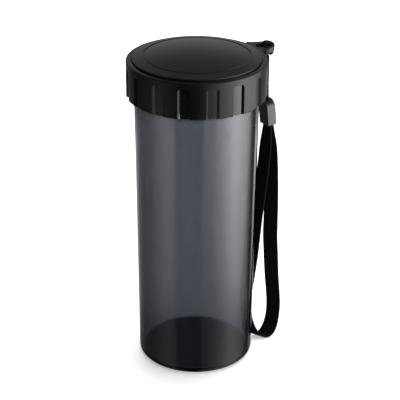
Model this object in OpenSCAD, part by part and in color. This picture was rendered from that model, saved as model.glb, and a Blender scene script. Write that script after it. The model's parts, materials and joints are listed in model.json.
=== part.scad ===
// Half-litre drinking tumbler: a smoke-tinted vessel with a screw lid, and a wrist strap that hangs from
// an ear on the lid. The origin is the centre of the base, +Z runs up the axis, and +X points to the ear.

/* [Vessel] */
// Diameter of the body just below the lid
body_top_d = 71.2; // [70.6:0.2:71.8]
// Diameter of the body at the base, before the bottom edge is rounded
body_base_d = 68; // [66:0.5:69]
// Radius of the rounded bottom edge
base_edge_r = 3.5; // [2.5:0.5:4]
// Thickness of the body's side wall
wall = 2.2; // [1.8:0.1:2.4]
// Thickness of the floor
floor_t = 3; // [2:0.1:3.2]

/* [Lid] */
// Height of the lid's lower edge above the base
lid_z = 165; // [165:0.5:166]
// Diameter over the grip pads
lid_d = 80; // [79.4:0.2:81]
// Height of the skirt, from its lower edge to the flat rim
lid_h = 21.2; // [21:0.1:22.5]
// Rise of the dome's crown above the rim
crown_rise = 6; // [4.5:0.1:6.9]

/* [Grip] */
// Number of grip pads round the skirt
pad_count = 16; // [12:1:18]
// Width of one pad, in degrees
pad_angle = 11.5; // [9:0.5:12]
// Direction of the first pad, in degrees from the ear
pad_start = 14.5; // [0:0.5:22]
// Depth of the windows between the pads
window_depth = 1.3; // [1:0.1:1.7]

/* [Thread] */
// Number of thread starts
thread_starts = 3; // [2:1:3]
// Rise of the lid in one turn
thread_lead = 12; // [12:0.5:13]

/* [Ear and strap] */
// Distance from the axis to the middle of the ear's round tip
ear_reach = 43.5; // [43:0.1:44]
// Diameter of the ear's hole
ear_hole_d = 5.6; // [5.2:0.1:5.8]
// Thickness of the ear
ear_t = 2.8; // [2.4:0.1:3]
// Diameter of the lanyard cord
cord_d = 1.8; // [1.6:0.1:1.9]
// Thickness of the webbing
webbing_t = 1.1; // [0.9:0.1:1.1]

/* [Hidden] */
$fn = 96;

smoke = [0.33, 0.35, 0.40, 0.45];
lid_black = [0.07, 0.07, 0.07];
strap_black = [0.04, 0.04, 0.04];

lid_r = lid_d / 2;
rim_z = lid_z + lid_h;
rim_fillet = 0.8;

// neck of the vessel, hidden under the lid
neck_r = 33.2;
mouth_r = 31;
shoulder_z = lid_z - 0.4;
neck_top = lid_z + 16.6;

// the seat in the lid that takes the crown
seat_r = 36.85;
seat_z = rim_z - 1.1;
shelf_t = 0.8;
shelf_r = 33;
skirt_inner_r = 36.6;

// wall of the crown, and the number of steps in its curved half section
crown_t = 1.7;
crown_steps = 16;

// screw thread: outer ridges on the neck, inner ridges on the liner half a pitch lower
thread_turn = 270;
thread_step = 10;
thread_phase = 4;
thread_z = lid_z + 5;
thread_pitch = thread_lead / thread_starts;
thread_crest = 34.35;
liner_bore = 34.9;
liner_crest = 33.75;

// ear outline: a round tip blended into the rim
ear_tip_r = 7;
ear_blend_r = 14;
ear_blend_x = (pow(lid_r + ear_blend_r, 2) - pow(ear_tip_r + ear_blend_r, 2) + ear_reach * ear_reach)
              / (2 * ear_reach);
ear_blend_y = sqrt(pow(lid_r + ear_blend_r, 2) - ear_blend_x * ear_blend_x);
ear_hole_x = ear_reach - 0.5;

// the bar between the hole and the tip, which the cord loops round and the strap swings on
bar_x = (ear_hole_x + ear_hole_d / 2 + ear_reach + ear_tip_r) / 2;
bar_z = rim_z - ear_t / 2;

// ferrule: the point at the middle of its lower end, its size and its lean
ferrule_foot = [50, 0, 136.7];
ferrule_w = 9.3;
ferrule_t = 5.7;
ferrule_h = 15.8;
ferrule_lean = 6;

// one strand of the lanyard cord, from the hitch down into the ferrule; the other is its mirror image
strand_route = [[48.1, 1.0, 179.9], [48, 1.0, 177.8], [47.9, 1.0, 174.5], [47.9, 1.0, 171],
                [47.9, 1.0, 167.5], [47.9, 1.0, 164], [48, 1.0, 160.5], [48.1, 1.0, 157],
                [48.3, 1.0, 153.5], [48.6, 1.0, 149]];

// the webbing: each point's x, y and z, its turn about Z in degrees, and its width there
webbing_route = [
    [49.2, 0, 139.5, 0, 7.4], [49.4, 0, 136.5, 1, 7.8], [49.3, 0, 132, 3, 8.8], [48.7, -0.3, 127, 6, 9.6],
    [47.9, -0.6, 121, 8, 10], [46.8, -1.1, 113, 8, 10], [45.4, -1.7, 104, 7, 10], [44, -2.4, 95, 5, 10],
    [42.5, -3.1, 86, 3, 10], [41.1, -3.8, 77.5, 1, 10], [40, -4.4, 70, 0, 10], [38.9, -5, 63, -1, 10],
    [37.8, -5.5, 55.5, -2, 10], [36.9, -5.5, 48, -4, 10], [36.2, -5.1, 40, -6, 10], [35.3, -4.7, 31, -8, 10],
    [34.9, -5, 22, -8, 10], [34.8, -6.3, 14, -7, 10], [35.6, -8.4, 7, 4, 10], [37.1, -10.9, 2.2, 18, 10],
    [40.1, -12.3, 0.75, 30, 10], [43.6, -12.5, 1.7, 29, 10], [47, -12, 5.7, 24, 10], [49.5, -10.9, 12, 21, 10],
    [50.6, -9.9, 20, 24, 10], [50.6, -9, 28, 26, 10], [50.3, -8.1, 36, 27, 10], [50.2, -7.1, 45, 28, 10],
    [50.2, -6.2, 54, 29, 10], [50.2, -5.2, 64, 29, 10], [50.7, -4.4, 74, 27, 10], [51.4, -3.5, 84, 24, 10],
    [51.9, -2.7, 94, 21, 10], [52.2, -1.9, 104, 18, 10], [52.4, -1.2, 113, 14, 10], [52.3, -0.7, 121, 10, 10],
    [51.9, -0.3, 127, 6, 9.6], [51.4, 0, 132, 3, 8.8], [51, 0, 136.5, 0, 7.8], [50.7, 0, 139.5, 0, 7.4]];

// points on an arc in a half section, from angle a0 to a1
function arc(c, r, a0, a1, n = 12) =
    [for (i = [0 : n]) c + r * [cos(a0 + (a1 - a0) * i / n), sin(a0 + (a1 - a0) * i / n)]];

// points on a shallow crown, from the axis at height top out to radius r, rise lower
function crown_line(top, r, rise, n = crown_steps) =
    let (ball = (r * r + rise * rise) / (2 * rise))
    [for (i = [0 : n]) let (x = r * i / n) [x, top - ball + sqrt(ball * ball - x * x)]];

// a closed solid through rings of equally many points
module sweep(rings) {
    m = len(rings[0]);
    last = len(rings) - 1;
    sides = [for (i = [0 : last - 1], j = [0 : m - 1])
        let (a = i * m + j, b = i * m + (j + 1) % m, c = b + m, d = a + m) each [[a, b, c], [a, c, d]]];
    start_cap = [[for (j = [m - 1 : -1 : 0]) j]];
    end_cap = [[for (j = [0 : m - 1]) last * m + j]];
    polyhedron([for (ring = rings) each ring], concat(sides, start_cap, end_cap));
}

// one ridge of the screw thread, a trapezoid that climbs round the axis; it fades in and out at its ends
module thread_ridge(root_r, crest_r, z0) {
    steps = thread_turn / thread_step;
    root_half = 1.1;
    crest_half = 0.5;
    inward = crest_r < root_r;
    sweep([for (i = [0 : steps])
        let (fade = min(1, (min(i, steps - i) + 1) / 3),
             r = root_r + (crest_r - root_r) * fade,
             a = i * thread_step,
             z = z0 + thread_lead * a / 360,
             section = [[root_r, -root_half], [r, -crest_half], [r, crest_half], [root_r, root_half]],
             order = inward ? [3, 2, 1, 0] : [0, 1, 2, 3])
        [for (k = order) [section[k][0] * cos(a), section[k][0] * sin(a), z + section[k][1]]]]);
}

module thread(root_r, crest_r, z0)
    for (k = [0 : thread_starts - 1])
        rotate([0, 0, thread_phase + 360 * k / thread_starts]) thread_ridge(root_r, crest_r, z0);

module tumbler_body() color(smoke) {
    top_r = body_top_d / 2;
    base_r = body_base_d / 2;
    floor_fillet = 0.7;
    inner_base_r = base_r - wall;
    rotate_extrude() polygon(concat(
        [[0, 0]],
        arc([base_r - base_edge_r, base_edge_r], base_edge_r, -90, 0),
        arc([top_r - 0.6, shoulder_z - 0.6], 0.6, 0, 90, 4),
        [[neck_r + 0.6, shoulder_z], [neck_r, shoulder_z + 0.6], [neck_r, neck_top - 0.6]],
        [[neck_r - 0.6, neck_top], [mouth_r + 0.3, neck_top], [mouth_r, neck_top - 0.3]],
        [[mouth_r, shoulder_z + 2.5], [top_r - wall, shoulder_z - 3]],
        arc([inner_base_r - floor_fillet, floor_t + floor_fillet], floor_fillet, 0, -90),
        [[0, floor_t]]));
    thread(neck_r - 0.6, thread_crest, thread_z);
}

// the window cutter's side walls lean in, seen from above, and its upper corners are round, seen from outside
module grip_window() {
    half = lid_r * sin((360 / pad_count - pad_angle) / 2);
    wall_slope = 0.92;
    corner_r = 2.4;
    top_z = rim_z - 3.6;
    inside = lid_r - 3;
    outside = lid_r + 1;
    inner_half = half - (lid_r - inside) * wall_slope;
    outer_half = half + (outside - lid_r) * wall_slope;
    intersection() {
        translate([0, 0, lid_z - 1]) linear_extrude(lid_h)
            polygon([[inside, -inner_half], [outside, -outer_half], [outside, outer_half], [inside, inner_half]]);
        rotate([90, 0, 90]) linear_extrude(outside + 1) union() {
            translate([-half, lid_z - 1]) square([2 * half, top_z - corner_r - lid_z + 1]);
            translate([-half + corner_r, lid_z - 1]) square([2 * (half - corner_r), top_z - lid_z + 1]);
            for (side = [-1, 1]) translate([side * (half - corner_r), top_z - corner_r]) circle(corner_r);
        }
    }
}

module ear_outline() {
    difference() {
        polygon([[30, 0], [ear_blend_x, ear_blend_y], [ear_reach + ear_tip_r * 0.5, 0],
                 [ear_blend_x, -ear_blend_y]]);
        for (side = [-1, 1]) translate([ear_blend_x, side * ear_blend_y]) circle(ear_blend_r);
    }
    translate([ear_reach, 0]) circle(ear_tip_r);
}

// the skirt and flat rim, with a shelf inside for the crown
module lid_ring()
    rotate_extrude() polygon(concat(
        [[skirt_inner_r, lid_z], [lid_r - 0.5, lid_z], [lid_r, lid_z + 0.5]],
        arc([lid_r - rim_fillet, rim_z - rim_fillet], rim_fillet, 0, 90, 6),
        [[seat_r + 0.2, rim_z], [seat_r, rim_z - 0.2], [seat_r, seat_z], [shelf_r, seat_z]],
        [[shelf_r, seat_z - shelf_t], [skirt_inner_r, seat_z - shelf_t]]));

module ear()
    difference() {
        translate([0, 0, rim_z - ear_t]) linear_extrude(ear_t) ear_outline();
        translate([0, 0, lid_z]) cylinder(h = lid_h + 1, r = lid_r - 1.5);
        translate([ear_hole_x, 0, lid_z]) cylinder(h = lid_h + 1, d = ear_hole_d);
    }

module lid_shell() color(lid_black) {
    difference() {
        lid_ring();
        difference() {
            for (k = [0 : pad_count - 1])
                rotate([0, 0, pad_start + (k + 0.5) * 360 / pad_count]) grip_window();
            translate([0, 0, lid_z - 2]) cylinder(h = lid_h + 4, r = lid_r - window_depth);
        }
    }
    ear();
}

// the domed disc that closes the top of the lid; its edge stands a little above the rim, and it has one
// shallow ring groove
module lid_crown() color(lid_black) {
    edge_r = seat_r - 0.25;
    ledge_r = 32.4;
    groove_r = 30.2;
    edge_z = rim_z + 1.15;
    edge_fillet = 0.35;
    groove_half = 0.8;
    groove_z = rim_z + 2.4;
    groove_depth = 0.55;
    top = rim_z + crown_rise;
    rotate_extrude() polygon(concat(
        crown_line(top, groove_r - groove_half, top - groove_z),
        [[groove_r - 0.35, groove_z - groove_depth + 0.05], [groove_r + 0.25, groove_z - groove_depth],
         [groove_r + groove_half, groove_z - 0.15]],
        arc([edge_r - edge_fillet, edge_z - edge_fillet], edge_fillet, 80, 0, 4),
        [[edge_r, seat_z], [ledge_r, seat_z], [ledge_r, seat_z + 0.4]],
        [for (i = [crown_steps : -1 : 0]) crown_line(top - crown_t, groove_r, top - groove_z)[i]]));
}

// the threaded cap inside the lid: a bore with the inner ridges, a roof and a plug that enters the mouth
module lid_liner() color(lid_black) {
    roof_top = seat_z - shelf_t;
    seal_seat = neck_top + 1.65;
    plug_r = mouth_r - 0.9;
    rotate_extrude() polygon([
        [0, roof_top - 1.4], [plug_r - 1.7, roof_top - 1.4], [plug_r - 1.7, neck_top - 3],
        [plug_r - 0.4, neck_top - 3], [plug_r, neck_top - 2.4], [plug_r, seal_seat],
        [liner_bore, seal_seat], [liner_bore, lid_z + 1.2], [skirt_inner_r - 0.2, lid_z + 1.2],
        [skirt_inner_r - 0.2, roof_top], [0, roof_top]]);
    thread(liner_bore + 0.6, liner_crest, thread_z - thread_pitch / 2);
}

// the soft ring that is pressed on the lip of the neck
module lid_seal() color([0.85, 0.85, 0.83]) {
    inner_r = mouth_r - 0.6;
    outer_r = neck_r + 0.2;
    lip_r = 0.35;
    z0 = neck_top + 0.05;
    z1 = neck_top + 1.6;
    rotate_extrude() polygon(concat(
        arc([outer_r - lip_r, z0 + lip_r], lip_r, -90, 0, 3),
        arc([outer_r - lip_r, z1 - lip_r], lip_r, 0, 90, 3),
        arc([inner_r + lip_r, z1 - lip_r], lip_r, 90, 180, 3),
        arc([inner_r + lip_r, z0 + lip_r], lip_r, 180, 270, 3)));
}

// the doubled turn of cord round the ear's bar
module cord_hitch() color(strap_black) {
    ring_r = 3.75;
    translate([bar_x, 0, bar_z]) rotate([90, 0, 0]) rotate_extrude() translate([ring_r, 0]) {
        square([cord_d, cord_d], center = true);
        for (side = [-1, 1]) translate([0, side * cord_d / 2]) circle(d = cord_d);
    }
}

module strand(route) {
    last = len(route) - 1;
    sides = 8;
    sweep([for (i = [0 : last])
        let (d = route[min(i + 1, last)] - route[max(i - 1, 0)],
             lean = atan2(d[0], -d[2]))
        [for (k = [0 : sides - 1]) let (a = 360 * k / sides)
            route[i] + cord_d / 2 * [cos(a) * cos(lean), sin(a), cos(a) * sin(lean)]]]);
}

module lanyard_cord() color(strap_black)
    for (side = [-1, 1]) strand([for (p = strand_route) [p[0], side * p[1], p[2]]]);

// the plastic clasp that joins the cord to the webbing, round at the top
module cord_ferrule() color(lid_black)
    translate(ferrule_foot) rotate([0, -ferrule_lean, 0])
        rotate([90, 0, 90]) linear_extrude(ferrule_t, center = true) {
            arch_r = ferrule_w / 2;
            translate([-arch_r + 0.6, 0]) square([ferrule_w - 1.2, ferrule_h - arch_r]);
            translate([-arch_r, 0.6]) square([ferrule_w, ferrule_h - arch_r - 0.6]);
            for (side = [-1, 1]) translate([side * (arch_r - 0.6), 0.6]) circle(0.6);
            translate([0, ferrule_h - arch_r]) circle(arch_r);
        }

// the webbing is one flat strip; its face normal lies square to its path and to its width
module wrist_webbing() color(strap_black) {
    last = len(webbing_route) - 1;
    sweep([for (i = [0 : last])
        let (p = webbing_route[i],
             q = webbing_route[min(i + 1, last)],
             o = webbing_route[max(i - 1, 0)],
             along = [q[0] - o[0], q[1] - o[1], q[2] - o[2]],
             across = [sin(p[3]), -cos(p[3]), 0],
             face = cross(across, along),
             up = face / norm(face) * webbing_t / 2,
             side = across * p[4] / 2,
             c = [p[0], p[1], p[2]])
        [c - side - up, c - side + up, c + side + up, c + side - up]]);
}

tumbler_body();
lid_shell();
lid_crown();
lid_liner();
lid_seal();
cord_hitch();
lanyard_cord();
cord_ferrule();
wrist_webbing();
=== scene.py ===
# Looks of a drinking tumbler: smoke see-through vessel, black screw lid and a webbing wrist strap.
import json
import math

import bpy
import numpy as np
from mathutils import Matrix, Vector


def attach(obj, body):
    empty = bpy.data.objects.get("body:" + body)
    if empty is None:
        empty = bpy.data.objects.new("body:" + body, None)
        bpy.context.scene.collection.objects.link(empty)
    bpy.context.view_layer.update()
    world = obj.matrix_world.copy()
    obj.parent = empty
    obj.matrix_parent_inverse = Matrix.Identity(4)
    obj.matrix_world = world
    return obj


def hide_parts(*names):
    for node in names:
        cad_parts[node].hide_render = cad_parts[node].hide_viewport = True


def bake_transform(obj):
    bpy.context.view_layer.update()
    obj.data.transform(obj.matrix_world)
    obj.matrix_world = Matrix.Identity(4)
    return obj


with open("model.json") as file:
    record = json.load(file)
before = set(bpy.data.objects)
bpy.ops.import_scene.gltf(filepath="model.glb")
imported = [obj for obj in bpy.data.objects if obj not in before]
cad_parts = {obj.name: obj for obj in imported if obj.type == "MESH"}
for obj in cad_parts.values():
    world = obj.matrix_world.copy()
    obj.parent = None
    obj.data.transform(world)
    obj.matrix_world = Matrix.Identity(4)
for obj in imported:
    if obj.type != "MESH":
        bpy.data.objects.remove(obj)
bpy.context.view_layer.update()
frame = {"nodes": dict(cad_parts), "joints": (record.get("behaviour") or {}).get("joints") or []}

MM = 0.001

# ---------------------------------------------------------------- camera
# The camera stands in front and to the left, and sees the ear at the right. The studio is set out as seen
# from it.
CAMERA_AZIMUTH = math.radians(-32)
CAMERA_BACK = 0.7625
CAMERA_HEIGHT = 0.459
CAMERA_PITCH = math.radians(25.30)
CAMERA_YAW = math.radians(0.17)
CAMERA_ROLL = math.radians(0.38)
CAMERA_LENS = 129.43
CAMERA_SENSOR = 36.0

# ---------------------------------------------------------------- light
# The fill light is a square panel above and behind, aimed at the vessel's middle. Its azimuth is 0 at the
# camera and 90 degrees at the camera's right.
FILL_AZIMUTH = math.radians(160)
FILL_ELEVATION = math.radians(68)
FILL_DISTANCE = 1.3
FILL_SIZE = 1.2
FILL_POWER = 29
FILL_AIM = (0, 0, 0.1)

# The studio's own light is a softbox at the right, a low glow behind and at the front left, and a dim
# ceiling. The lists named ROUND give the light all round, in turns that start behind the object and pass its
# left, the camera and its right. The lists named HEIGHT give it upwards, from 0 straight down to 1 straight
# up, evenly in the sine of the elevation.
SOFTBOX_ROUND = [
    (0.00, 0.02), (0.05, 0.015), (0.20, 0.0), (0.534, 0.0), (0.536, 0.14), (0.57, 0.155), (0.60, 0.31),
    (0.633, 0.50), (0.67, 0.75), (0.71, 1.0), (0.75, 0.78), (0.80, 0.42), (0.83, 0.18), (0.856, 0.01),
    (0.92, 0.015), (1.00, 0.02)]
SOFTBOX_HEIGHT = [
    (0.0, 0.12), (0.239, 0.16), (0.2425, 0.18), (0.249, 0.28), (0.2535, 0.40), (0.278, 0.70), (0.308, 1.0),
    (0.318, 1.2), (0.6, 1.0), (0.70, 0.65), (0.78, 0.25), (0.87, 0.0)]
SOFTBOX_STRENGTH = 6.6
GLOW_ROUND = [
    (0.00, 0.7), (0.05, 0.55), (0.10, 0.30), (0.12, 0.22), (0.16, 0.15), (0.20, 0.19), (0.25, 0.27),
    (0.28, 0.6), (0.306, 0.8), (0.33, 1.0), (0.354, 0.96), (0.377, 0.8), (0.388, 0.73), (0.390, 0.17),
    (0.45, 0.14), (0.49, 0.06), (0.534, 0.05), (0.56, 0.0), (0.885, 0.0), (0.90, 0.8), (1.00, 0.7)]
GLOW_HEIGHT = [
    (0.0, 0.15), (0.2425, 0.2), (0.2535, 0.55), (0.278, 0.75), (0.304, 1.0), (0.311, 0.35), (0.33, 0.15),
    (0.6, 0.1), (0.8, 0.0)]
GLOW_STRENGTH = 1.3
CEILING_HEIGHT = [(0.45, 0.0), (0.52, 0.8), (0.62, 0.9), (0.75, 0.8), (0.87, 1.0)]
CEILING_STRENGTH = 0.2

FLOOR_HALF = 3.0
FLOOR_Z = -0.15 * MM
FLOOR_EMISSION = 0.40

# ---------------------------------------------------------------- colours and surfaces
WHITE = (1, 1, 1, 1)
SMOKE_COLOUR = (0.50, 0.51, 0.54, 1)
SMOKE_DENSITY = 1430.0
SMOKE_IOR = 1.53
BLACK_TINT = (1.0, 1.03, 0.7)
BLACK_IOR = 1.5
SILICONE_TINT = (1, 1, 0.97)
YARN_TINT = (1, 1, 1.02)

# The windows' floors lie inside this radius and the pads outside it. The change is spread over POLISH_BLEND,
# and the two factors multiply the roughness on either side.
POLISHED_RADIUS = 39.0 * MM
POLISH_BLEND = 0.4 * MM
POLISHED_FACTOR = 0.6
MATT_FACTOR = 1.35

# ---------------------------------------------------------------- webbing
WEBBING_T = 1.1 * MM
WEBBING_W = 10 * MM
WARP_YARNS = 12
POINTS_A_YARN = 3
WEFT_PITCH = 1.0 * MM
POINTS_A_WEFT = 4
WEAVE_DEPTH = 0.07 * MM
SELVEDGE_DEPTH = 0.06 * MM
SELVEDGE_FROM = 0.995

# each point's x, y and z in millimetres, its turn about Z in degrees, and the width there in millimetres
WEBBING_ROUTE = [
    (49.2, 0, 139.5, 0, 7.4), (49.4, 0, 136.5, 1, 7.8), (49.3, 0, 132, 3, 8.8), (48.7, -0.3, 127, 6, 9.6),
    (47.9, -0.6, 121, 8, 10), (46.8, -1.1, 113, 8, 10), (45.4, -1.7, 104, 7, 10), (44, -2.4, 95, 5, 10),
    (42.5, -3.1, 86, 3, 10), (41.1, -3.8, 77.5, 1, 10), (40, -4.4, 70, 0, 10), (38.9, -5, 63, -1, 10),
    (37.8, -5.5, 55.5, -2, 10), (36.9, -5.5, 48, -4, 10), (36.2, -5.1, 40, -6, 10), (35.3, -4.7, 31, -8, 10),
    (34.9, -5, 22, -8, 10), (34.8, -6.3, 14, -7, 10), (35.6, -8.4, 7, 4, 10), (37.1, -10.9, 2.2, 18, 10),
    (40.1, -12.3, 0.75, 30, 10), (43.6, -12.5, 1.7, 29, 10), (47, -12, 5.7, 24, 10),
    (49.5, -10.9, 12, 21, 10), (50.6, -9.9, 20, 24, 10), (50.6, -9, 28, 26, 10), (50.3, -8.1, 36, 27, 10),
    (50.2, -7.1, 45, 28, 10), (50.2, -6.2, 54, 29, 10), (50.2, -5.2, 64, 29, 10), (50.7, -4.4, 74, 27, 10),
    (51.4, -3.5, 84, 24, 10), (51.9, -2.7, 94, 21, 10), (52.2, -1.9, 104, 18, 10), (52.4, -1.2, 113, 14, 10),
    (52.3, -0.7, 121, 10, 10), (51.9, -0.3, 127, 6, 9.6), (51.4, 0, 132, 3, 8.8), (51, 0, 136.5, 0, 7.8),
    (50.7, 0, 139.5, 0, 7.4)]

# ---------------------------------------------------------------- cord
CORD_D = 1.8 * MM
CORD_STEP = 0.28 * MM
CORD_SIDES = 24
BRAID_STRANDS = 6
BRAID_PITCH = 2.4 * MM
BRAID_DEPTH = 0.07 * MM

# one strand, from below the hitch down into the ferrule, in millimetres
STRAND_ROUTE = [
    (47.9, 1.0, 174.5), (47.9, 1.0, 171), (47.9, 1.0, 167.5), (47.9, 1.0, 164), (48.0, 1.0, 160.5),
    (48.1, 1.0, 157), (48.3, 1.0, 153.5), (48.6, 1.0, 149)]

# One turn of the hitch, up through the ear's hole and over its bar. x and z are from the middle of the bar, y
# is from the middle of the ear, and all are in millimetres. HITCH_SIDE keeps the two turns side by side.
HITCH_SIDE = 0.95
HITCH_TURN = [
    (-0.25, 1.0, -8.0), (-0.45, 0.98, -5.6), (-1.3, HITCH_SIDE, -4.1), (-2.6, HITCH_SIDE, -2.6),
    (-3.2, HITCH_SIDE, -0.7), (-3.1, HITCH_SIDE, 1.2), (-2.3, HITCH_SIDE, 2.6), (-0.9, HITCH_SIDE, 2.75),
    (0.8, HITCH_SIDE, 2.35), (2.2, HITCH_SIDE, 1.9), (3.1, HITCH_SIDE, 0.8), (3.1, HITCH_SIDE, -1.0),
    (2.75, 1.1, -2.7), (2.2, 0.95, -4.1), (1.85, 0.4, -4.6)]


# ---------------------------------------------------------------- small tools
def from_camera(right, forward, up):
    """A direction or place given as seen from the camera, in the row frame."""
    return Matrix.Rotation(CAMERA_AZIMUTH, 3, "Z") @ Vector((right, forward, up))


def joint_place(name):
    """The point that the named joint turns about, in metres."""
    return [joint for joint in frame["joints"] if joint["name"] == name][0]["pos_m"]


def smooth_route(points, step):
    """The route as a smooth curve through its points, every step along its length, and that length. Any
    columns after the first three are carried along with it."""
    points = np.array(points, float)
    gaps = np.linalg.norm(np.diff(points[:, :3], axis=0), axis=1)
    at = np.concatenate([[0], np.cumsum(gaps)])
    slopes = np.diff(points, axis=0) / gaps[:, None]
    tangents = np.vstack([slopes[:1], slopes, slopes[-1:]])
    before = np.concatenate([gaps[:1], gaps])[:, None]
    after = np.concatenate([gaps, gaps[-1:]])[:, None]
    tangents = (tangents[:-1] * after + tangents[1:] * before) / (before + after)
    # a cubic spans each gap: k is the gap, t the share of it that is passed, and h its length
    fine = np.linspace(0, at[-1], int(at[-1] / step) * 4)
    k = np.clip(np.searchsorted(at, fine, side="right") - 1, 0, len(gaps) - 1)
    t = ((fine - at[k]) / gaps[k])[:, None]
    h = gaps[k][:, None]
    curve = ((1 + 2 * t) * (1 - t) ** 2 * points[k] + t * (1 - t) ** 2 * h * tangents[k]
             + t * t * (3 - 2 * t) * points[k + 1] + t * t * (t - 1) * h * tangents[k + 1])
    run = np.concatenate([[0], np.cumsum(np.linalg.norm(np.diff(curve[:, :3], axis=0), axis=1))])
    even = np.linspace(0, run[-1], int(round(run[-1] / step)) + 1)
    return np.column_stack([np.interp(even, run, curve[:, c]) for c in range(curve.shape[1])]), run[-1]


def unit(vectors):
    """The same directions, each one unit long."""
    return vectors / np.linalg.norm(vectors, axis=-1, keepdims=True)


def add_object(name, data):
    """A new object in the scene that shows the given mesh, light or camera."""
    thing = bpy.data.objects.new(name, data)
    bpy.context.scene.collection.objects.link(thing)
    return thing


def skin(name, rings, uv_across, uv_along):
    """A closed mesh through rings of equally many points, with both ends capped and a UV map in metres."""
    count, size = rings.shape[:2]
    faces = []
    for i in range(count - 1):
        for j in range(size):
            a = i * size + j
            b = i * size + (j + 1) % size
            faces.append((a, b, b + size, a + size))
    faces.append(tuple(range(size - 1, -1, -1)))
    faces.append(tuple(range((count - 1) * size, count * size)))
    mesh = bpy.data.meshes.new(name)
    mesh.from_pydata(rings.reshape(-1, 3).tolist(), [], faces)
    uv = mesh.uv_layers.new(name="route")
    for corner, loop in enumerate(mesh.loops):
        ring, point = divmod(loop.vertex_index, size)
        uv.data[corner].uv = (uv_across[point], uv_along[ring])
    mesh.polygons.foreach_set("use_smooth", [True] * len(mesh.polygons))
    mesh.update()
    return add_object(name, mesh)


# ---------------------------------------------------------------- shader nodes
class Nodes:
    """Adds nodes to one node tree and links them, so that a material reads as a few short lines."""

    def __init__(self, tree):
        self.tree = tree
        tree.nodes.clear()

    def add(self, kind, inputs=None, **settings):
        node = self.tree.nodes.new(kind)
        for key, value in settings.items():
            setattr(node, key, value)
        for key, value in (inputs or {}).items():
            if isinstance(value, bpy.types.NodeSocket):
                self.tree.links.new(value, node.inputs[key])
            else:
                node.inputs[key].default_value = value
        return node

    def math(self, operation, a, b):
        return self.add("ShaderNodeMath", {0: a, 1: b}, operation=operation).outputs[0]

    def noise(self, vector, scale, detail=3.0, roughness=0.5):
        node = self.add("ShaderNodeTexNoise", {"Vector": vector, "Scale": scale, "Detail": detail,
                                               "Roughness": roughness})
        return node.outputs[0]

    def ramp(self, value, stops):
        """A grey level that runs straight from stop to stop. stops are (place, grey level)."""
        node = self.add("ShaderNodeValToRGB", {0: value})
        ramp = node.color_ramp
        ramp.interpolation = "LINEAR"
        while len(ramp.elements) < len(stops):
            ramp.elements.new(0.5)
        for element, (place, level) in zip(ramp.elements, stops):
            element.position = place
            element.color = (level, level, level, 1)
        return node.outputs[0]

    def scale(self, value, low, high, to_low, to_high):
        """The value moved from the range low..high to the range to_low..to_high, and kept inside it."""
        node = self.add("ShaderNodeMapRange", {0: value, 1: low, 2: high, 3: to_low, 4: to_high})
        return node.outputs[0]

    def bump(self, height, depth):
        node = self.add("ShaderNodeBump", {"Height": height, "Distance": depth, "Strength": 1.0})
        return node.outputs[0]


# ---------------------------------------------------------------- camera, light and floor
def place_camera():
    data = bpy.data.cameras.new("camera")
    data.lens = CAMERA_LENS
    data.sensor_width = CAMERA_SENSOR
    camera = add_object("camera", data)
    turn = (Matrix.Rotation(CAMERA_AZIMUTH - CAMERA_YAW, 4, "Z")
            @ Matrix.Rotation(math.pi / 2 - CAMERA_PITCH, 4, "X")
            @ Matrix.Rotation(CAMERA_ROLL, 4, "Z"))
    camera.matrix_world = Matrix.Translation(from_camera(0, -CAMERA_BACK, CAMERA_HEIGHT)) @ turn
    bpy.context.scene.camera = camera


def wall_light(n, turn, height, all_round, upward, strength):
    """One light of the studio's walls."""
    shape = n.math("MULTIPLY", n.ramp(turn, all_round), n.ramp(height, upward))
    return n.math("MULTIPLY", shape, strength)


def light_studio():
    """The softbox, the glow and the ceiling, set out as seen from the camera."""
    world = bpy.data.worlds.new("studio")
    bpy.context.scene.world = world
    world.use_nodes = True
    n = Nodes(world.node_tree)
    way = n.add("ShaderNodeTexCoord").outputs["Generated"]
    right = n.add("ShaderNodeVectorMath", {0: way, 1: from_camera(1, 0, 0)}, operation="DOT_PRODUCT")
    near = n.add("ShaderNodeVectorMath", {0: way, 1: from_camera(0, -1, 0)}, operation="DOT_PRODUCT")
    turn = n.math("ARCTAN2", right.outputs["Value"], near.outputs["Value"])
    turn = n.scale(turn, -math.pi, math.pi, 0, 1)
    height = n.scale(n.add("ShaderNodeSeparateXYZ", {0: way}).outputs[2], -1, 1, 0, 1)
    softbox = wall_light(n, turn, height, SOFTBOX_ROUND, SOFTBOX_HEIGHT, SOFTBOX_STRENGTH)
    glow = wall_light(n, turn, height, GLOW_ROUND, GLOW_HEIGHT, GLOW_STRENGTH)
    ceiling = n.math("MULTIPLY", n.ramp(height, CEILING_HEIGHT), CEILING_STRENGTH)
    level = n.math("ADD", n.math("ADD", softbox, glow), ceiling)
    back = n.add("ShaderNodeBackground", {"Color": WHITE, "Strength": level})
    n.add("ShaderNodeOutputWorld", {"Surface": back.outputs[0]})


def hang_fill():
    """The fill light. It isn't seen by the camera, in a reflection or through the vessel."""
    data = bpy.data.lights.new("overhead_fill", "AREA")
    data.shape = "RECTANGLE"
    data.size = FILL_SIZE
    data.size_y = FILL_SIZE
    data.energy = FILL_POWER
    light = add_object("overhead_fill", data)
    out = from_camera(math.sin(FILL_AZIMUTH) * math.cos(FILL_ELEVATION),
                      -math.cos(FILL_AZIMUTH) * math.cos(FILL_ELEVATION),
                      math.sin(FILL_ELEVATION))
    light.location = Vector(FILL_AIM) + out * FILL_DISTANCE
    light.rotation_euler = out.to_track_quat("Z", "Y").to_euler()
    light.visible_camera = False
    light.visible_glossy = False
    light.visible_transmission = False


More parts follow.
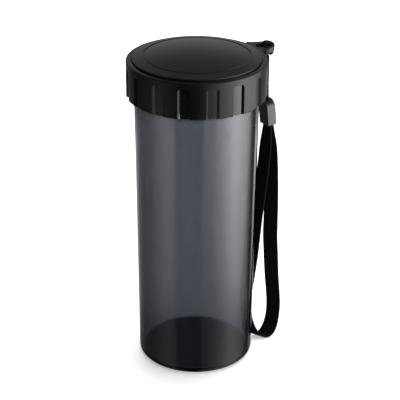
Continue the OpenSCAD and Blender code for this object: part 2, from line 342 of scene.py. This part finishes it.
def lay_floor():
    """A plain pale floor, a hair below the object. It glows a little, and no reflection shows it."""
    mesh = bpy.data.meshes.new("studio_floor")
    corners = [(-FLOOR_HALF, -FLOOR_HALF), (FLOOR_HALF, -FLOOR_HALF),
               (FLOOR_HALF, FLOOR_HALF), (-FLOOR_HALF, FLOOR_HALF)]
    mesh.from_pydata([(x, y, FLOOR_Z) for x, y in corners], [], [(0, 1, 2, 3)])
    floor = add_object("studio_floor", mesh)
    material, n = new_material("studio_floor")
    place = n.add("ShaderNodeTexCoord").outputs["Object"]
    shade = n.scale(n.noise(place, 3.0), 0, 1, 0.90, 0.92)
    finish(n, {"Base Color": grey(n, shade), "Roughness": 0.35, "Specular IOR Level": 0.3,
               "Emission Color": WHITE, "Emission Strength": FLOOR_EMISSION})
    mesh.materials.append(material)
    floor.visible_glossy = False


# ---------------------------------------------------------------- materials
def new_material(name):
    material = bpy.data.materials.new(name)
    material.use_nodes = True
    return material, Nodes(material.node_tree)


def finish(n, inputs, volume=None):
    """Ends a material with its shader, and with what fills its inside where volume is given."""
    shader = n.add("ShaderNodeBsdfPrincipled", inputs)
    ends = {"Surface": shader.outputs[0]}
    if volume is not None:
        ends["Volume"] = volume
    n.add("ShaderNodeOutputMaterial", ends)


def grey(n, level, tint=(1, 1, 1)):
    """A colour from a varying grey level."""
    parts = {i: n.math("MULTIPLY", level, tint[i]) for i in range(3)}
    return n.add("ShaderNodeCombineColor", parts).outputs[0]


def smoke_plastic():
    """Clear moulded plastic, polished, with a smoke tint through its thickness and faint handling haze."""
    material, n = new_material("smoke_plastic")
    place = n.add("ShaderNodeTexCoord").outputs["Object"]
    haze = n.noise(place, 90.0, 4.0)
    flow = n.noise(place, 14.0, 2.0)
    tint = n.add("ShaderNodeVolumeAbsorption", {"Color": SMOKE_COLOUR, "Density": SMOKE_DENSITY})
    finish(n, {"Base Color": WHITE, "Transmission Weight": 1.0, "IOR": SMOKE_IOR,
               "Roughness": n.scale(haze, 0.45, 0.8, 0.0, 0.01),
               "Normal": n.bump(flow, 0.04 * MM)}, tint.outputs[0])
    return material


def moulded_black(name, level, roughness, grain, grain_depth, wear=0.0, shine=0.5, polished_inside=0.0):
    """Black moulded plastic: a fine spark-eroded grain, slow variation in gloss, and dust-fine scuffs. level
    is its grey level, grain the scale of the grain, and wear how much rougher a scuff is. Where
    polished_inside is given, faces nearer the axis than that radius are polished and the rest is matt."""
    material, n = new_material(name)
    place = n.add("ShaderNodeTexCoord").outputs["Object"]
    cloud = n.noise(place, 35.0, 3.0)
    speck = n.noise(place, grain, 2.0, 0.6)
    scuff = n.noise(place, 420.0, 5.0, 0.7)
    shade = n.scale(cloud, 0.3, 0.7, level * 0.85, level * 1.15)
    rough = n.scale(cloud, 0.3, 0.7, roughness * 0.88, roughness * 1.12)
    rough = n.math("ADD", rough, n.scale(scuff, 0.62, 0.75, 0.0, wear))
    if polished_inside:
        flat = n.add("ShaderNodeVectorMath", {0: place, 1: (1, 1, 0)}, operation="MULTIPLY").outputs["Vector"]
        reach = n.add("ShaderNodeVectorMath", {0: flat}, operation="LENGTH").outputs["Value"]
        matt = n.scale(reach, polished_inside, polished_inside + POLISH_BLEND, POLISHED_FACTOR, MATT_FACTOR)
        rough = n.math("MULTIPLY", rough, matt)
    finish(n, {"Base Color": grey(n, shade, BLACK_TINT), "Roughness": rough, "IOR": BLACK_IOR,
               "Specular IOR Level": shine, "Normal": n.bump(speck, grain_depth)})
    return material


def silicone():
    """Soft off-white silicone with a slightly cloudy surface."""
    material, n = new_material("seal_silicone")
    place = n.add("ShaderNodeTexCoord").outputs["Object"]
    cloud = n.noise(place, 120.0, 3.0)
    shade = n.scale(cloud, 0.3, 0.7, 0.74, 0.82)
    rough = n.scale(cloud, 0.3, 0.7, 0.42, 0.52)
    finish(n, {"Base Color": grey(n, shade, SILICONE_TINT), "Roughness": rough, "Subsurface Weight": 0.2,
               "Subsurface Scale": 2 * MM, "Normal": n.bump(cloud, 0.01 * MM)})
    return material


def yarn(name, level, threads_per_m):
    """Black polyester yarn: dull, with fine filaments along it and a little lint."""
    material, n = new_material(name)
    uv = n.add("ShaderNodeTexCoord").outputs["UV"]
    parts = n.add("ShaderNodeSeparateXYZ", {0: uv})
    stretched = n.add("ShaderNodeCombineXYZ", {
        0: n.math("MULTIPLY", parts.outputs[0], threads_per_m),
        1: n.math("MULTIPLY", parts.outputs[1], threads_per_m / 6)})
    filament = n.noise(stretched.outputs[0], 1.0, 2.0)
    fleck = n.noise(uv, 900.0, 2.0)
    shade = n.scale(filament, 0.3, 0.7, level * 0.7, level * 1.3)
    shade = n.math("ADD", shade, n.scale(fleck, 0.68, 0.8, 0.0, level * 1.5))
    finish(n, {"Base Color": grey(n, shade, YARN_TINT), "Roughness": 0.85, "Sheen Weight": 0.015,
               "Sheen Roughness": 0.4, "Specular IOR Level": 0.25, "Normal": n.bump(filament, 0.05 * MM)})
    return material


def dress(node, material):
    """Puts a new material into every material slot that a CAD node already has."""
    for slot in frame["nodes"][node].material_slots:
        slot.material = material


def soften(node, width, segments=2):
    """Rounds a CAD node's hard edges for the looks, without changing its mesh. Faces less than half a degree
    apart are joined first, and edges sharper than 40 degrees are rounded."""
    piece = frame["nodes"][node]
    merge = piece.modifiers.new("merge", "DECIMATE")
    merge.decimate_type = "DISSOLVE"
    merge.angle_limit = math.radians(0.5)
    bevel = piece.modifiers.new("round", "BEVEL")
    bevel.width = width
    bevel.segments = segments
    bevel.limit_method = "ANGLE"
    bevel.angle_limit = math.radians(40)
    bevel.harden_normals = True


# ---------------------------------------------------------------- strap
def webbing_section():
    """The points round the webbing's section, from one edge over the top to the other edge and back
    underneath. across is each point's place over the width as 0..1. side is 1 on top, -1 underneath and 0 on
    an edge."""
    places = np.linspace(0, 1, WARP_YARNS * POINTS_A_YARN + 1)
    across = np.concatenate([places, places[-2:0:-1]])
    side = np.concatenate([np.ones(len(places)), -np.ones(len(places) - 2)])
    side[0] = 0
    side[len(places) - 1] = 0
    return across, side


def weave_webbing():
    """The wrist webbing: a narrow woven strip with yarns that rise and dip, and a looped selvedge."""
    step = WEFT_PITCH / POINTS_A_WEFT
    route, length = smooth_route([(x * MM, y * MM, z * MM, math.radians(turn), width * MM)
                                  for x, y, z, turn, width in WEBBING_ROUTE], step)
    centre = route[:, :3]
    turn = route[:, 3]
    width = route[:, 4]
    run = np.arange(len(route)) * step
    along = unit(np.gradient(centre, axis=0))
    sideways = np.column_stack([np.sin(turn), -np.cos(turn), np.zeros(len(turn))])
    face = unit(np.cross(sideways, along))
    across, side = webbing_section()
    # body is how much of the full thickness there is, less at the two round edges
    edge = np.abs(2 * across - 1)
    round_from = 1 - WEBBING_T / WEBBING_W
    body = np.sqrt(np.clip(1 - (np.clip(edge - round_from, 0, None) / (1 - round_from)) ** 2, 0, 1))
    # each yarn is crowned, and rises and dips along the strip in turn with its neighbours
    yarn_at = np.clip(across, 0, 0.9999) * WARP_YARNS
    hump = 1 - (2 * (yarn_at % 1) - 1) ** 2
    odd = np.floor(yarn_at) % 2
    wave = np.cos(2 * math.pi * (run[:, None] / WEFT_PITCH + odd[None, :] / 2))
    relief = WEAVE_DEPTH * hump * (0.5 + 0.5 * wave * side[None, :]) * body
    selvedge = SELVEDGE_DEPTH * (edge > SELVEDGE_FROM) * np.cos(2 * math.pi * run[:, None] / WEFT_PITCH)
    half = (WEBBING_T / 2 - WEAVE_DEPTH) * body[None, :] + relief
    reach = (across - 0.5)[None, :] * width[:, None] + np.sign(across - 0.5) * selvedge
    rings = (centre[:, None, :] + sideways[:, None, :] * reach[:, :, None]
             + face[:, None, :] * (half * side)[:, :, None])
    piece = skin("woven_webbing", rings, across * WEBBING_W, run)
    piece.data.materials.append(yarn("strap_webbing", 0.0022, 6000.0))
    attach(piece, "strap")
    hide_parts("wrist_webbing")


def hitch_route():
    """The cord's way from one strand up through the ear's hole, twice over its bar, and down the other
    strand. The bar's middle is the point that the strap swings about."""
    bar = joint_place("strap_swing")
    bar_x = bar[0] / MM
    bar_z = bar[2] / MM
    up = [(bar_x + x, y, bar_z + z) for x, y, z in HITCH_TURN]
    down = [(x, -y, z) for x, y, z in reversed(up)]
    return STRAND_ROUTE[::-1] + up + down + [(x, -y, z) for x, y, z in STRAND_ROUTE]


def carried_normals(along):
    """A direction square to the path at each point, carried along it without twisting."""
    normal = np.zeros_like(along)
    normal[0] = np.cross(along[0], (0, 1, 0))
    for i in range(1, len(along)):
        normal[i] = normal[i - 1] - along[i] * np.dot(normal[i - 1], along[i])
        normal[i] /= np.linalg.norm(normal[i])
    return normal


def braid_cord():
    """The round braided cord, hitched round the ear's outer bar."""
    route, length = smooth_route([(x * MM, y * MM, z * MM) for x, y, z in hitch_route()], CORD_STEP)
    run = np.arange(len(route)) * CORD_STEP
    along = unit(np.gradient(route, axis=0))
    normal = carried_normals(along)
    other = np.cross(along, normal)
    # left and right count the strands that wind each way, and the one that lies over makes the hump
    turn = np.arange(CORD_SIDES) / CORD_SIDES
    left = BRAID_STRANDS * turn[None, :] + run[:, None] / BRAID_PITCH
    right = BRAID_STRANDS * turn[None, :] - run[:, None] / BRAID_PITCH
    over = (np.floor(left) + np.floor(right)) % 2
    hump = np.where(over < 0.5, 1 - (2 * (left % 1) - 1) ** 2, 1 - (2 * (right % 1) - 1) ** 2)
    radius = CORD_D / 2 - BRAID_DEPTH + BRAID_DEPTH * hump
    angle = 2 * math.pi * turn
    rings = (route[:, None, :] + (radius * np.cos(angle))[:, :, None] * normal[:, None, :]
             + (radius * np.sin(angle))[:, :, None] * other[:, None, :])
    piece = skin("braided_cord", rings, turn * math.pi * CORD_D, run)
    piece.data.materials.append(yarn("lanyard_braid", 0.0025, 9000.0))
    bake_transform(piece)
    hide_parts("cord_hitch", "lanyard_cord")


# ---------------------------------------------------------------- the scene
place_camera()
braid_cord()
weave_webbing()
light_studio()
hang_fill()
lay_floor()

dress("tumbler_body", smoke_plastic())
dress("lid_shell", moulded_black("lid_plastic", level=0.002, roughness=0.24, grain=1500.0,
                                 grain_depth=0.004 * MM, wear=0.05, shine=0.28,
                                 polished_inside=POLISHED_RADIUS))
dress("lid_crown", moulded_black("crown_plastic", level=0.003, roughness=0.30, grain=2200.0,
                                 grain_depth=0.012 * MM, wear=0.05, shine=0.4))
dress("lid_liner", moulded_black("liner_plastic", level=0.012, roughness=0.5, grain=1500.0,
                                 grain_depth=0.02 * MM))
dress("lid_seal", silicone())
dress("cord_ferrule", moulded_black("ferrule_plastic", level=0.005, roughness=0.3, grain=1500.0,
                                    grain_depth=0.01 * MM, wear=0.05))
soften("lid_shell", 0.16 * MM)
soften("cord_ferrule", 0.35 * MM, segments=3)

bpy.context.scene.view_settings.view_transform = "Standard"
